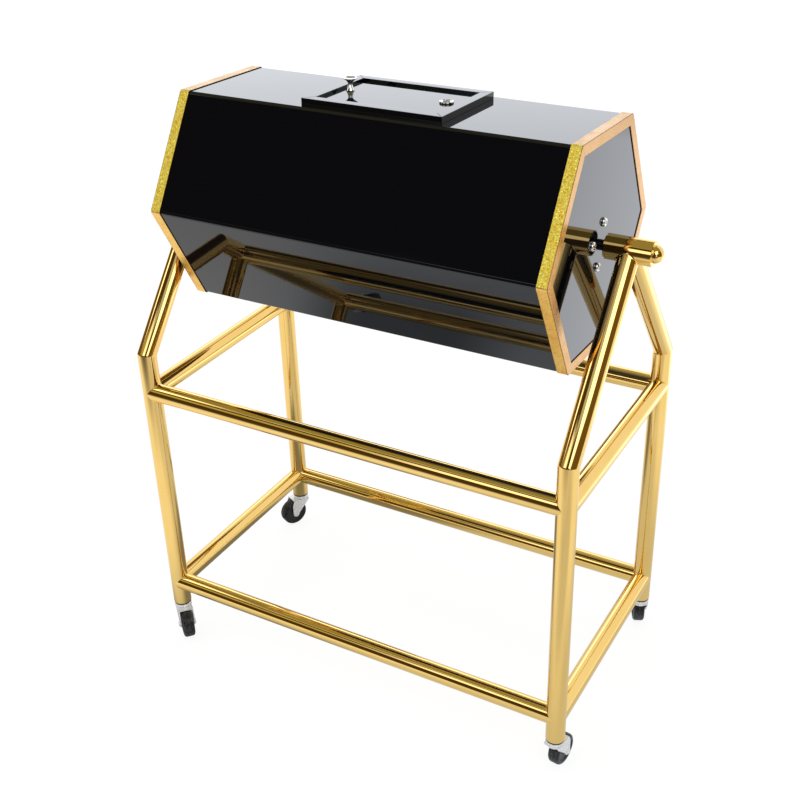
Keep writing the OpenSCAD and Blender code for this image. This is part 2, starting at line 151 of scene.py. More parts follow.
def drum_box(node):
    """Lowest and highest corner of a node in the drum's own frame, where the top facet faces +Z."""
    return corners_of([TO_DRUM @ vertex.co for vertex in NODES[node].data.vertices])


LID_TOP = drum_box("lid")[1].z


# Camera, at the photograph's viewpoint

CAMERA_PLACE = Vector((0.89834, -1.55716, 1.52376))
CAMERA_YAW = -0.5275
CAMERA_PITCH = -0.5195
CAMERA_ROLL = -0.0311
CAMERA_LENS = 54.63


def make_camera():
    data = bpy.data.cameras.new("camera")
    data.lens = CAMERA_LENS
    data.sensor_width = 36
    data.clip_end = 60
    camera = bpy.data.objects.new("camera", data)
    SCENE.collection.objects.link(camera)
    forward = Vector((math.sin(CAMERA_YAW) * math.cos(CAMERA_PITCH),
                      math.cos(CAMERA_YAW) * math.cos(CAMERA_PITCH), math.sin(CAMERA_PITCH)))
    right = Vector((math.cos(CAMERA_YAW), -math.sin(CAMERA_YAW), 0))
    up = right.cross(forward)
    turned_right = right * math.cos(CAMERA_ROLL) + up * math.sin(CAMERA_ROLL)
    turned_up = up * math.cos(CAMERA_ROLL) - right * math.sin(CAMERA_ROLL)
    matrix = Matrix((turned_right, turned_up, -forward)).transposed().to_4x4()
    matrix.translation = CAMERA_PLACE
    camera.matrix_world = matrix
    SCENE.camera = camera


make_camera()


# Materials

def feed(tree, socket, value):
    """Links another node's socket to an input, or sets the input to a constant."""
    if isinstance(value, bpy.types.NodeSocket):
        tree.links.new(value, socket)
    else:
        socket.default_value = value


def link_math(tree, operation, first, second):
    """The result of a maths node on two numbers, each a constant or another node's socket."""
    node = tree.nodes.new("ShaderNodeMath")
    node.operation = operation
    feed(tree, node.inputs[0], first)
    feed(tree, node.inputs[1], second)
    return node.outputs[0]


class Nodes:
    """Shorthand for building one material's node tree."""

    def __init__(self, name):
        self.material = bpy.data.materials.new(name)
        self.material.use_nodes = True
        self.tree = self.material.node_tree
        self.shader = self.tree.nodes["Principled BSDF"]
        self.coordinates = self.tree.nodes.new("ShaderNodeTexCoord").outputs["Object"]

    def add(self, kind, **inputs):
        node = self.tree.nodes.new("ShaderNode" + kind)
        for name, value in inputs.items():
            self.put(node.inputs[name.replace("_", " ")], value)
        return node

    def put(self, socket, value):
        feed(self.tree, socket, value)

    def set(self, **values):
        for name, value in values.items():
            self.put(self.shader.inputs[name.replace("_", " ")], value)

    def total(self, first, second):
        return link_math(self.tree, "ADD", first, second)

    def vector(self, operation, first, second=(0, 0, 0)):
        node = self.add("VectorMath")
        node.operation = operation
        self.put(node.inputs[0], first)
        self.put(node.inputs[1], second)
        return node.outputs["Vector"]

    def stretched(self, scale, turn=(0, 0, 0)):
        mapping = self.add("Mapping", Vector=self.coordinates, Scale=scale)
        mapping.inputs["Rotation"].default_value = turn
        return mapping.outputs["Vector"]

    def noise(self, scale, detail=3.0, roughness=0.5, vector=None):
        node = self.add("TexNoise", Scale=scale, Detail=detail, Roughness=roughness,
                        Vector=vector or self.coordinates)
        return node.outputs["Fac"]

    def ramp(self, factor, low, high, low_at=0.35, high_at=0.65):
        """Maps factor between two places to a value or a colour between low and high."""
        if isinstance(low, (int, float)):
            node = self.add("MapRange", Value=factor)
            for name, value in (("From Min", low_at), ("From Max", high_at),
                                ("To Min", low), ("To Max", high)):
                node.inputs[name].default_value = value
            return node.outputs["Result"]
        node = self.add("ValToRGB", Fac=factor)
        node.color_ramp.elements[0].position = low_at
        node.color_ramp.elements[1].position = high_at
        node.color_ramp.elements[0].color = (*low, 1)
        node.color_ramp.elements[1].color = (*high, 1)
        return node.outputs["Color"]

    def bump(self, height, strength, distance, normal=None):
        node = self.add("Bump", Height=height, Strength=strength, Distance=distance)
        if normal is not None:
            self.put(node.inputs["Normal"], normal)
        return node.outputs["Normal"]


GOLD = (0.93, 0.645, 0.225)
GOLD_DEEP = (0.90, 0.61, 0.19)
ALONG = {"x": (0, 0, 0), "y": (0, 0, math.pi / 2), "z": (0, math.pi / 2, 0)}


def mirror_gold(name, along, lean=0.0):
    """Polished gold-coloured tube: faint polishing lines run along it, with soft wipe marks."""
    m = Nodes(name)
    turn = (lean, ALONG[along][1], ALONG[along][2])
    lines = m.noise(1.0, 2.0, 0.6, m.stretched((6, 900, 900), turn))
    smears = m.noise(14.0, 4.0, 0.55)
    m.set(Base_Color=m.ramp(smears, GOLD, GOLD_DEEP, 0.3, 0.75), Metallic=1.0,
          Roughness=m.ramp(smears, 0.035, 0.085, 0.35, 0.8),
          Normal=m.bump(lines, 0.06, 0.0002))
    return m.material


TRIM_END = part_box("trim_right")[1].x
# A brown line of painted shade and dark reflection runs along the trim's fold on the end faces.
FOLD_LINE = 1.1 * MM
FOLD_FADE = 0.2 * MM
FOLD_SHARE = 0.8
FOLD_SHADE_BROWN = (0.30, 0.135, 0.035, 1)
MIX_FACTOR, MIX_FIRST, MIX_SECOND, MIX_COLOUR = 0, 6, 7, 2


def painted_fold_shade(m, colour):
    """The colour with a brown line painted along the trim's fold, at the ends of the drum: painted shade
    and dark reflection of the black facets at the fold.
    """
    across = m.add("SeparateXYZ", Vector=m.coordinates).outputs["X"]
    start = TRIM_END - FOLD_LINE
    share = m.ramp(link_math(m.tree, "ABSOLUTE", across, 0.0), 0.0, FOLD_SHARE, start, start + FOLD_FADE)
    mixed = m.add("Mix")
    mixed.data_type = "RGBA"
    for socket, value in ((MIX_FACTOR, share), (MIX_FIRST, colour), (MIX_SECOND, FOLD_SHADE_BROWN)):
        m.put(mixed.inputs[socket], value)
    return mixed.outputs[MIX_COLOUR]


FLAKE_SCALE = 600.0
CLUMP_SCALE = 500.0
FLAKE_TILT = 0.8
GLITTER_DEEP = (0.88, 0.50, 0.0)
GLITTER_BRIGHT = (1.0, 0.84, 0.13)


def glitter_gold():
    """Trim covered in gold glitter: flakes a millimetre or two wide lie at small random tilts."""
    m = Nodes("gold_glitter")
    flakes = m.add("TexVoronoi", Vector=m.coordinates, Scale=FLAKE_SCALE)
    clumps = m.add("TexVoronoi", Vector=m.coordinates, Scale=CLUMP_SCALE)
    random_tilt = m.vector("SUBTRACT", flakes.outputs["Color"], (0.5, 0.5, 0.5))
    tilt = m.vector("MULTIPLY", random_tilt, (FLAKE_TILT, FLAKE_TILT, FLAKE_TILT))
    tilted = m.vector("ADD", m.add("NewGeometry").outputs["Normal"], tilt)
    normal = m.vector("NORMALIZE", tilted)
    tone = m.total(m.add("SeparateColor", Color=clumps.outputs["Color"]).outputs["Red"],
                   m.add("SeparateColor", Color=flakes.outputs["Color"]).outputs["Green"])
    m.set(Base_Color=painted_fold_shade(m, m.ramp(tone, GLITTER_DEEP, GLITTER_BRIGHT, 0.6, 1.0)),
          Metallic=0.25, Roughness=0.26,
          Normal=m.bump(flakes.outputs["Distance"], 0.25, 0.0003, normal))
    return m.material


def satin_gold(name, low, high, grain_scale=500.0, with_fold_shade=False):
    """Smooth face of the trim from its darkest to its palest gold; the fold flag adds the brown line of
    painted shade along the fold.
    """
    m = Nodes(name)
    grain = m.noise(grain_scale, 4.0, 0.65)
    smears = m.noise(30.0, 4.0, 0.6)
    colour = m.ramp(m.total(smears, grain), low, high, 0.7, 1.3)
    m.set(Base_Color=painted_fold_shade(m, colour) if with_fold_shade else colour, Metallic=0.7,
          Roughness=m.ramp(smears, 0.2, 0.32), Normal=m.bump(grain, 0.12, 0.0003))
    return m.material


def painted_dark_edge(name, colour):
    """Edge or fold of the trim, a browner gold: painted shade and dark reflection on faces that turn away
    from the light.
    """
    m = Nodes(name)
    grain = m.noise(700.0, 3.0, 0.6)
    paler = tuple(c * 1.8 for c in colour)
    m.set(Base_Color=m.ramp(grain, colour, paler), Metallic=0.4, Roughness=m.ramp(grain, 0.35, 0.55))
    return m.material


def black_acrylic():
    """Cast black acrylic, glossy with a trace of dust and wipe marks."""
    m = Nodes("black_acrylic")
    smears = m.noise(9.0, 5.0, 0.6)
    dust = m.noise(900.0, 2.0, 0.7)
    waves = m.noise(5.0, 1.0)
    m.set(Base_Color=m.ramp(dust, (0.0010, 0.0020, 0.0046), (0.006, 0.0068, 0.0096), 0.62, 0.85),
          Roughness=m.ramp(smears, 0.012, 0.05, 0.4, 0.8),
          IOR=1.49, Normal=m.bump(waves, 0.02, 0.002))
    return m.material


def chrome():
    m = Nodes("chrome")
    smears = m.noise(120.0, 3.0, 0.6)
    m.set(Base_Color=m.ramp(smears, (0.86, 0.87, 0.89), (0.78, 0.79, 0.81)), Metallic=1.0,
          Roughness=m.ramp(smears, 0.04, 0.10))
    return m.material


def zinc():
    """Bright zinc plating with a very faint crystal pattern and handling marks."""
    m = Nodes("bright_zinc")
    crystals = m.add("TexVoronoi", Vector=m.coordinates, Scale=420.0)
    tone = m.add("SeparateColor", Color=crystals.outputs["Color"]).outputs["Red"]
    wear = m.noise(60.0, 5.0, 0.6)
    m.set(Base_Color=m.ramp(tone, (0.92, 0.93, 0.94), (0.97, 0.975, 0.98), 0.1, 0.9), Metallic=0.25,
          Roughness=m.ramp(wear, 0.16, 0.30), Normal=m.bump(wear, 0.03, 0.0003))
    return m.material


def rubber():
    """Dark wheel rubber with a satin skin, scuffed paler in patches."""
    m = Nodes("wheel_rubber")
    scuffs = m.noise(150.0, 5.0, 0.65)
    grain = m.noise(1400.0, 3.0, 0.7)
    m.set(Base_Color=m.ramp(scuffs, (0.004, 0.0045, 0.005), (0.085, 0.088, 0.088), 0.47, 0.76),
          Roughness=m.ramp(scuffs, 0.26, 0.5), Normal=m.bump(grain, 0.2, 0.0003))
    return m.material


def moulded(name, colour, rough):
    """Moulded plastic with a fine grain."""
    m = Nodes(name)
    grain = m.noise(800.0, 3.0, 0.6)
    tone = m.noise(40.0, 3.0)
    paler = tuple(min(1, c * 1.25 + 0.004) for c in colour)
    m.set(Base_Color=m.ramp(tone, colour, paler), Roughness=m.ramp(tone, rough, rough + 0.12),
          Normal=m.bump(grain, 0.2, 0.0002))
    return m.material


def dark_steel():
    """Brushed face of the lock's plug."""
    m = Nodes("brushed_plug")
    lines = m.noise(1.0, 2.0, 0.6, m.stretched((90, 1800, 90)))
    m.set(Base_Color=m.ramp(lines, (0.10, 0.10, 0.105), (0.26, 0.26, 0.27)), Metallic=0.9,
          Roughness=m.ramp(lines, 0.3, 0.45), Normal=m.bump(lines, 0.2, 0.0002))
    return m.material


def black_oxide():
    m = Nodes("black_oxide")
    wear = m.noise(70.0, 5.0, 0.6)
    lines = m.noise(1.0, 2.0, 0.6, m.stretched((900, 60, 60)))
    m.set(Base_Color=m.ramp(wear, (0.012, 0.012, 0.014), (0.035, 0.034, 0.034)), Metallic=0.7,
          Roughness=m.ramp(wear, 0.25, 0.42), Normal=m.bump(lines, 0.1, 0.0002))
    return m.material


LEG_LEAN = math.radians(38.8)
GOLD_X = mirror_gold("gold_tube_x", "x")
GOLD_Y = mirror_gold("gold_tube_y", "y")
GOLD_Z = mirror_gold("gold_tube_z", "z")
GOLD_FRONT_LEG = mirror_gold("gold_leg_front", "z", -LEG_LEAN)
GOLD_BACK_LEG = mirror_gold("gold_leg_back", "z", LEG_LEAN)
GLITTER = glitter_gold()
# The smooth golds are copies of the one glitter film, lighter or darker by how the end face, the top and
# the lower slopes take the light: painted light and shade.
PEACH = satin_gold("peach_gold", (0.52, 0.235, 0.044), (0.61, 0.32, 0.07))
TOP_GOLD_AS_LIT = satin_gold("top_gold_as_lit", (0.44, 0.215, 0.052), (0.53, 0.295, 0.08), with_fold_shade=True)
LOW_SLOPE_GOLD_AS_LIT = satin_gold("low_slope_gold_as_lit", (0.72, 0.32, 0.03), (1.0, 0.62, 0.14), grain_scale=320.0, with_fold_shade=True)
# Dark brown cut edges and fold of the trim: painted shade and dark reflection.
TRIM_EDGE_SHADE = painted_dark_edge("trim_edge_painted_shade", (0.09, 0.035, 0.012))
TRIM_FOLD_SHADE = painted_dark_edge("trim_fold_painted_shade", (0.27, 0.12, 0.034))
ACRYLIC = black_acrylic()
CHROME = chrome()
ZINC = zinc()
RUBBER = rubber()
HUB = moulded("hub_plastic", (0.02, 0.021, 0.022), 0.3)
NYLON = moulded("nylon", (0.75, 0.74, 0.69), 0.4)
PLUG = moulded("plug_plastic", (0.02, 0.02, 0.02), 0.45)
OXIDE = black_oxide()
PLUG_FACE = dark_steel()


def finish_node(node, material):
    """Gives a node that keeps its own mesh its material."""
    data = NODES[node].data
    data.materials.clear()
    data.materials.append(material)


# Mesh helpers

def new_piece(name, mesh, material, body, replaced=(), crease=35):
    """Links a mesh, made in the frame's coordinates, as a piece that rides on a body."""
    for entry in material if isinstance(material, (list, tuple)) else [material]:
        mesh.materials.append(entry)
    mesh.shade_smooth()
    mesh.set_sharp_from_angle(angle=math.radians(crease))
    piece = bpy.data.objects.new(name, mesh)
    SCENE.collection.objects.link(piece)
    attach(piece, body)
    if replaced:
        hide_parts(*replaced)
    return piece


def shade_flat_faces(piece):
    """Lets the wide faces set the shading, so that it bends only over their rounded edges."""
    weighted = piece.modifiers.new("flat_faces", "WEIGHTED_NORMAL")
    weighted.mode = "FACE_AREA"
    weighted.weight = 100
    weighted.keep_sharp = True


EDGE_ANGLE = math.radians(25)


def softened(name, node, material, width, pick=None, shape=None, skip=None):
    """A copy of a flat-sided node with its edges rounded, which stands for the node.

    shape works on the mesh first. Edges of a face that skip names stay sharp, and then short edges don't
    hold the others' width back. pick says which of several materials a face has.
    """
    bm = copy_of(node)
    if shape:
        shape(bm)
    bmesh.ops.dissolve_limit(bm, angle_limit=math.radians(0.5), verts=bm.verts, edges=bm.edges)
    sharp = [edge for edge in bm.edges if len(edge.link_faces) == 2
             and edge.calc_face_angle(0) > EDGE_ANGLE
             and not (skip and any(skip(face) for face in edge.link_faces))]
    bmesh.ops.bevel(bm, geom=sharp, offset=width, segments=2, profile=0.5,
                    affect="EDGES", clamp_overlap=skip is None)
    if shape:
        bmesh.ops.dissolve_degenerate(bm, dist=SAME_PLACE, edges=bm.edges)
    if pick:
        for face in bm.faces:
            face.material_index = material.index(pick(face))
    mesh = bpy.data.meshes.new(name)
    bm.to_mesh(mesh)
    bm.free()
    shade_flat_faces(new_piece(name, mesh, material, body_of(node), (node,), crease=40))


HALF_FACET = math.pi / 6


def cut_away(bm, place, out):
    """Cuts off what lies beyond a plane and closes the cut."""
    cut = bmesh.ops.bisect_plane(bm, geom=bm.verts[:] + bm.edges[:] + bm.faces[:], dist=SAME_PLACE,
                                 plane_co=place, plane_no=out, clear_outer=True)
    edges = [item for item in cut["geom_cut"] if isinstance(item, bmesh.types.BMEdge)]
    if edges:
        bmesh.ops.edgenet_fill(bm, edges=edges)


def round_hexagon(bm, flat, radius, steps=5):
    """Rounds the drum's six long corners; flat is the distance from the axle to the faces."""
    def away(angle):
        return Vector((0, -math.sin(angle), math.cos(angle)))

    corner = (flat - radius) / math.cos(HALF_FACET)
    for side in range(6):
        first = side * 2 * HALF_FACET
        spot = away(first + HALF_FACET) * corner
        for step in range(steps):
            out = away(first + 2 * HALF_FACET * (step + 0.5) / steps)
            cut_away(bm, IN_DRUM @ (spot + out * radius), IN_DRUM.to_3x3() @ out)


PANEL_CORNER_R = 8.0 * MM


def rounded_panel(name, node):
    """A facet whose long outer edges are cut to a round that runs on into the next facet."""
    bm = copy_of(node)
    round_hexagon(bm, drum_box("facet_top")[1].z, PANEL_CORNER_R)
    bmesh.ops.dissolve_limit(bm, angle_limit=math.radians(0.3), verts=bm.verts, edges=bm.edges)
    shade_flat_faces(new_piece(name, mesh_from(bm, name), ACRYLIC, body_of(node), (node,),
                               crease=20))


CUT_MOST = 0.45


def rounded(points, radius, steps=4):
    """A profile with each inner corner cut by a small arc, as [radius, height] points."""
    out = [points[0]]
    for before, corner, after in zip(points, points[1:], points[2:]):
        a, c, b = Vector(before), Vector(corner), Vector(after)
        cut = min(radius, (a - c).length * CUT_MOST, (b - c).length * CUT_MOST)
        start = c + (a - c).normalized() * cut
        end = c + (b - c).normalized() * cut
        for k in range(steps + 1):
            t = k / steps
            out.append(tuple(start * (1 - t) ** 2 + c * 2 * t * (1 - t) + end * t * t))
    out.append(points[-1])
    return out


def bridge(bm, rings, closed=False):
    """Faces between rings of vertices; a ring of one vertex is a tip."""
    pairs = list(zip(rings, rings[1:]))
    if closed:
        pairs.append((rings[-1], rings[0]))
    for low, high in pairs:
        around = max(len(low), len(high))
        for k in range(around if around > 1 else 0):
            j = (k + 1) % around
            if len(low) == 1:
                bm.faces.new((low[0], high[j], high[k]))
            elif len(high) == 1:
                bm.faces.new((low[k], low[j], high[0]))
            else:
                bm.faces.new((low[k], low[j], high[j], high[k]))


ON_AXIS = 1e-7


def circle(bm, place, radius, height, count):
    """New vertices round local Z."""
    ring = []
    for k in range(count):
        a = 2 * math.pi * k / count
        spot = Vector((radius * math.cos(a), radius * math.sin(a), height))
        ring.append(bm.verts.new(place @ spot))
    return ring


def lathe(bm, profile, place, segments=96, closed=False):
    """Adds a solid of revolution about local Z, from (radius, height) points, to bm."""
    rings = []
    for radius, height in profile:
        if radius < ON_AXIS:
            rings.append([bm.verts.new(place @ Vector((0, 0, height)))])
            continue
        rings.append(circle(bm, place, radius, height, segments))
    bridge(bm, rings, closed)


def mesh_from(bm, name):
    bmesh.ops.recalc_face_normals(bm, faces=bm.faces)
    mesh = bpy.data.meshes.new(name)
    bm.to_mesh(mesh)
    bm.free()
    return mesh


def turned(name, profile, place, material, body, replaced=(), closed=False, crease=35):
    bm = bmesh.new()
    lathe(bm, profile, place, closed=closed)
    return new_piece(name, mesh_from(bm, name), material, body, replaced, crease)


# Stand

RING = 96
TUBE_WALL = 1.6 * MM


class Tube:
    """A straight round tube: a point on its axis, its direction, its radius and where angles start."""

    def __init__(self, point, direction, radius, first):
        self.point = Vector(point)
        self.direction = direction.normalized()
        self.radius = radius
        self.first = first
        self.second = self.direction.cross(first)

    def at(self, k, along=0.0, grow=0.0):
        """Place on the skin at the k-th of the ring's angles."""
        a = 2 * math.pi * k / RING
        out = self.first * math.cos(a) + self.second * math.sin(a)
        return self.point + out * (self.radius + grow) + self.direction * along

    def from_axis(self, spot):
        way = spot - self.point
        return way - self.direction * way.dot(self.direction)

    def on_skin(self, spot):
        way = self.from_axis(spot)
        return spot + way * (self.radius / way.length - 1)

    def meeting(self, k, other, sign):
        """Where the skin's k-th line crosses another tube: the first place, or the last with sign 1."""
        start = self.at(k)
        gap = other.from_axis(start)
        slope = self.direction - other.direction * self.direction.dot(other.direction)
        a, b, c = slope.dot(slope), gap.dot(slope), gap.dot(gap) - other.radius ** 2
        root = math.sqrt(max(b * b - a * c, 0))
        return start + self.direction * ((sign * root - b) / a)

    def cope(self, other, sign):
        """The ring of places where this tube ends on another one."""
        return [self.meeting(k, other, sign) for k in range(RING)]


BEND_ROUNDS = 8


def bend_height(corner):
    """Height where a post's axis bends into its leg, found from the top of the mitre."""
    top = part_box("post_" + corner)[1].z
    height = top
    for _ in range(BEND_ROUNDS):
        lean = math.atan2(abs(middle("post_" + corner).y), AXLE.z - height)
        height = top - TUBE_R * math.tan(lean / 2)
    return height


def upright_of(corner):
    place = middle("caster_stem_" + corner)
    return Tube((place.x, place.y, bend_height(corner)), Z_AXIS, TUBE_R, X_AXIS)


def leg_of(corner):
    upright = upright_of(corner)
    rise = Vector((0, -upright.point.y, AXLE.z - upright.point.z))
    return Tube(upright.point, rise, TUBE_R, X_AXIS)


SLEEVE_R = middle("sleeve_right").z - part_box("sleeve_right")[0].z
SLEEVE = Tube(AXLE, X_AXIS, SLEEVE_R, Y_AXIS)
SLEEVE_EDGE = 0.5 * MM
FOOT_DEEP = 3 * MM
FOOT_EDGE = 0.3 * MM
BEND_SOFT = 1.6 * MM
BEND_STEPS = 4


def add_rings(bm, places):
    return [[bm.verts.new(place) for place in ring] for ring in places]


def frame_tube(corner):
    """Post and leaning leg, joined at a softly ground mitre; the leg ends on the sleeve."""
    post, leg = upright_of(corner), leg_of(corner)
    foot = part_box("post_" + corner)[0].z - post.point.z
    half_bend = math.tan(math.atan2(leg.direction.y, leg.direction.z) / 2)
    mitre = [post.at(k, -(post.at(k).y - post.point.y) * half_bend) for k in range(RING)]
    rings = [[post.point + Z_AXIS * (foot + FOOT_DEEP)]]
    rings += [[post.at(k, foot + up, -inward) for k in range(RING)]
              for inward, up in ((TUBE_WALL, FOOT_DEEP), (TUBE_WALL, 0), (FOOT_EDGE, 0), (0, FOOT_EDGE))]
    post_rings = len(rings)
    for step in range(BEND_STEPS + 1):
        t = step / BEND_STEPS
        before, after = (1 - t) ** 2 * BEND_SOFT, t ** 2 * BEND_SOFT
        rings.append([spot - Z_AXIS * before + leg.direction * after for spot in mitre])
    coped = leg.cope(SLEEVE, -1)
    rings.append(coped)
    rings.append([sum(coped, Vector((0, 0, 0))) / RING + leg.direction * 2 * MM])
    bm = bmesh.new()
    bridge(bm, add_rings(bm, rings))
    name = "frame_tube_" + corner
    mesh = mesh_from(bm, name)
    for face in mesh.polygons:
        face.material_index = 1 if face.index >= (post_rings + 1) * RING else 0
    lean_gold = GOLD_FRONT_LEG if corner.startswith("front") else GOLD_BACK_LEG
    new_piece(name, mesh, (GOLD_Z, lean_gold), "stand", ("post_" + corner, "leg_" + corner))


def rail(node, ends, material):
    """A rail whose ends are coped to two uprights."""
    start, end = upright_of(ends[0]), upright_of(ends[1])
    height = middle(node).z
    place = Vector((start.point.x, start.point.y, height))
    way = Vector((end.point.x, end.point.y, height)) - place
    tube = Tube(place, way, TUBE_R, Z_AXIS)
    first, last = tube.cope(start, 1), tube.cope(end, -1)
    tip = tube.direction * 4 * MM
    rings = [[place + tip], first, last, [place + way - tip]]
    bm = bmesh.new()
    bridge(bm, add_rings(bm, rings))
    name = "tube_of_" + node
    new_piece(name, mesh_from(bm, name), material, "stand", (node,))
    return tube, start, end


RAIL_WELD = 1.8 * MM
SLEEVE_WELD = 3.2 * MM
WELD_STEPS = 6
WELD_WIDEST = 2.5
SHARPEST, BLUNTEST = 0.03, 2.9


def weld(bm, branch, main, sign, size, keep=None):
    """Polished hollow bead in the corner between a tube and the tube that it ends on.

    It narrows to nothing where the corner is too sharp or too blunt for a bead, and is left out where
    keep says no.
    """
    arcs = []
    for k in range(RING):
        spot = branch.meeting(k, main, sign)
        on_main, on_branch = main.from_axis(spot).normalized(), branch.from_axis(spot).normalized()
        turn = on_main.angle(on_branch)
        if turn < SHARPEST or turn > BLUNTEST:
            arcs.append([bm.verts.new(spot) for _ in range(WELD_STEPS + 1)])
            continue
        back = min(size * math.tan(turn / 2), WELD_WIDEST * size)
        along_main = (on_branch - on_main * on_branch.dot(on_main)).normalized()
        along_branch = (on_main - on_branch * on_main.dot(on_branch)).normalized()
        first = main.on_skin(spot + along_main * back)
        last = branch.on_skin(spot + along_branch * back)
        arc = []
        for step in range(WELD_STEPS + 1):
            t = step / WELD_STEPS
            arc.append(bm.verts.new(first * (1 - t) ** 2 + spot * 2 * t * (1 - t) + last * t * t))
        arcs.append(arc)
    for k in range(RING):
        low, high = arcs[k], arcs[(k + 1) % RING]
        if keep and not (keep(low[0].co) and keep(high[0].co)):
            continue
        for one, two in zip(range(WELD_STEPS), range(1, WELD_STEPS + 1)):
            bm.faces.new((low[one], low[two], high[two], high[one]))


def sleeve(side):
    """Tube on the apex of an A-frame, with its edges broken."""
    node = "sleeve_" + side
    low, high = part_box(node)
    bore = min((vertex.co - AXLE).yz.length for vertex in NODES[node].data.vertices)
    profile = [(bore, low.x), (SLEEVE_R - SLEEVE_EDGE, low.x), (SLEEVE_R, low.x + SLEEVE_EDGE),
               (SLEEVE_R, high.x - SLEEVE_EDGE), (SLEEVE_R - SLEEVE_EDGE, high.x), (bore, high.x)]
    place = Matrix.Translation(AXLE) @ Matrix.Rotation(math.pi / 2, 4, "Y")
    turned("tube_of_" + node, profile, place, GOLD_X, "stand", (node,), closed=True)


RAILS = {"front": (("front_left", "front_right"), GOLD_X), "back": (("back_left", "back_right"), GOLD_X),
         "left": (("front_left", "back_left"), GOLD_Y), "right": (("front_right", "back_right"), GOLD_Y)}
SEAM = 0.5 * MM
APEX_WIDE = 12 * MM
APEX_TALL = 4 * MM


def dress_stand():
    """Tubes and their welds; each weld at an apex ends at the seam, where the two legs meet."""
    bm = bmesh.new()
    for level in ("upper", "lower"):
        for place, (ends, gold) in RAILS.items():
            tube, start, end = rail(f"{level}_rail_{place}", ends, gold)
            weld(bm, tube, start, 1, RAIL_WELD)
            weld(bm, tube, end, -1, RAIL_WELD)
    for side in SIDES:
        sleeve(side)
        front, back = leg_of("front_" + side), leg_of("back_" + side)
        weld(bm, front, SLEEVE, -1, SLEEVE_WELD, lambda spot: spot.y < SEAM)
        weld(bm, back, SLEEVE, -1, SLEEVE_WELD, lambda spot: spot.y > -SEAM)
        weld(bm, front, back, -1, SLEEVE_WELD,
             lambda spot: abs(spot.y) < APEX_WIDE and spot.z < AXLE.z - SLEEVE_R + APEX_TALL)
    for corner in CORNERS:
        frame_tube(corner)
    bmesh.ops.delete(bm, geom=[v for v in bm.verts if not v.link_faces], context="VERTS")
    new_piece("frame_welds", mesh_from(bm, "frame_welds"), GOLD_Y, "stand", ())
    finish_node("bushes", NYLON)
    finish_node("post_plugs", PLUG)


DOME_R = 13.4 * MM


def dome_cap(side):
    """Plug in the sleeve's end, a shallow flat ring round a half ball."""
    low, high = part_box("dome_cap_" + side)
    sign = 1 if side == "right" else -1
    tip = max(abs(low.x), abs(high.x))
    inner = min(abs(low.x), abs(high.x))
    plug_r = (high.z - low.z) / 2
    face = tip - DOME_R
    edge = 0.4 * MM
    rise = 0.5 * MM
    profile = [(0, inner), (plug_r, inner), (plug_r, face - edge), (plug_r - edge, face)]
    profile += [(DOME_R + 0.9 * MM, face), (DOME_R + 0.25 * MM, face + 0.15 * MM)]
    profile += [(DOME_R * math.cos(a), face + rise + (DOME_R - rise) * math.sin(a))
                for a in (math.radians(3 * k) for k in range(31))]
    profile[-1] = (0, tip)
    place = Matrix.Translation(AXLE) @ Matrix.Rotation(sign * math.pi / 2, 4, "Y")
    turned("dome_cap_" + side + "_finish", profile, place, GOLD_X, "stand",
           ("dome_cap_" + side,))


# Casters

STEM_R = 5 * MM


def caster(corner):
    """Swivel head, fork, axle and wheel of one caster, finer than the frame's."""
    stem_low, stem_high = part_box("caster_stem_" + corner)
    wheel_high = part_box("caster_wheel_" + corner)[1]
    axis = middle("caster_stem_" + corner)
    hub = middle("caster_axle_" + corner)
    heading = math.atan2(hub.y - axis.y, hub.x - axis.x)
    trail = math.hypot(hub.y - axis.y, hub.x - axis.x)
    wheel_r = wheel_high.z / 2 - 0.02 * MM
    upright = Matrix.Translation((axis.x, axis.y, 0))
    at_wheel = (upright @ Matrix.Rotation(heading, 4, "Z") @ Matrix.Translation((trail, 0, hub.z))
                @ Matrix.Rotation(math.pi / 2, 4, "X"))
    post_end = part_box("post_" + corner)[0].z
    head_r = (stem_high.x - stem_low.x) / 2
    plate_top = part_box("caster_fork_" + corner)[1].z

    bottom = plate_top + 0.3 * MM
    collar = post_end - 3.4 * MM
    groove = bottom + (collar - bottom) * 0.3
    rivet_r = 5.9 * MM
    pin_r = 3.9 * MM
    shape = [(0, stem_low.z), (rivet_r - 0.7 * MM, stem_low.z), (rivet_r, stem_low.z + 0.8 * MM),
             (rivet_r, stem_low.z + 1.6 * MM), (pin_r, stem_low.z + 2 * MM), (pin_r, bottom),
             (head_r - 1.6 * MM, bottom), (head_r - 0.3 * MM, bottom + 0.6 * MM),
             (head_r - 0.3 * MM, groove - 0.5 * MM), (head_r - 1.1 * MM, groove),
             (head_r - 0.1 * MM, groove + 0.7 * MM), (head_r, groove + 1.6 * MM),
             (head_r - 0.1 * MM, collar - 1.2 * MM), (head_r - 1.0 * MM, collar), (STEM_R, collar),
             (STEM_R, stem_high.z - 1 * MM), (STEM_R - 1 * MM, stem_high.z), (0, stem_high.z)]
    turned(f"swivel_head_{corner}", rounded(shape, 0.5 * MM), upright, ZINC, "stand",
           (f"caster_stem_{corner}",), crease=50)
    rim = [(STEM_R + 0.1 * MM, collar + 0.05 * MM), (head_r - 0.4 * MM, collar + 0.05 * MM),
           (head_r - 0.1 * MM, collar + 0.4 * MM), (head_r - 0.1 * MM, post_end),
           (STEM_R + 0.1 * MM, post_end)]
    turned(f"plug_rim_{corner}", rim, upright, PLUG, "stand", (), closed=True)
    softened(f"fork_{corner}", f"caster_fork_{corner}", ZINC, 0.5 * MM)
    softened(f"axle_{corner}", f"caster_axle_{corner}", ZINC, 0.5 * MM)
    half = reach("caster_wheel_" + corner, at_wheel.to_3x3() @ Z_AXIS, hub)[1] - 0.02 * MM
    wheel(corner, at_wheel, wheel_r, half)


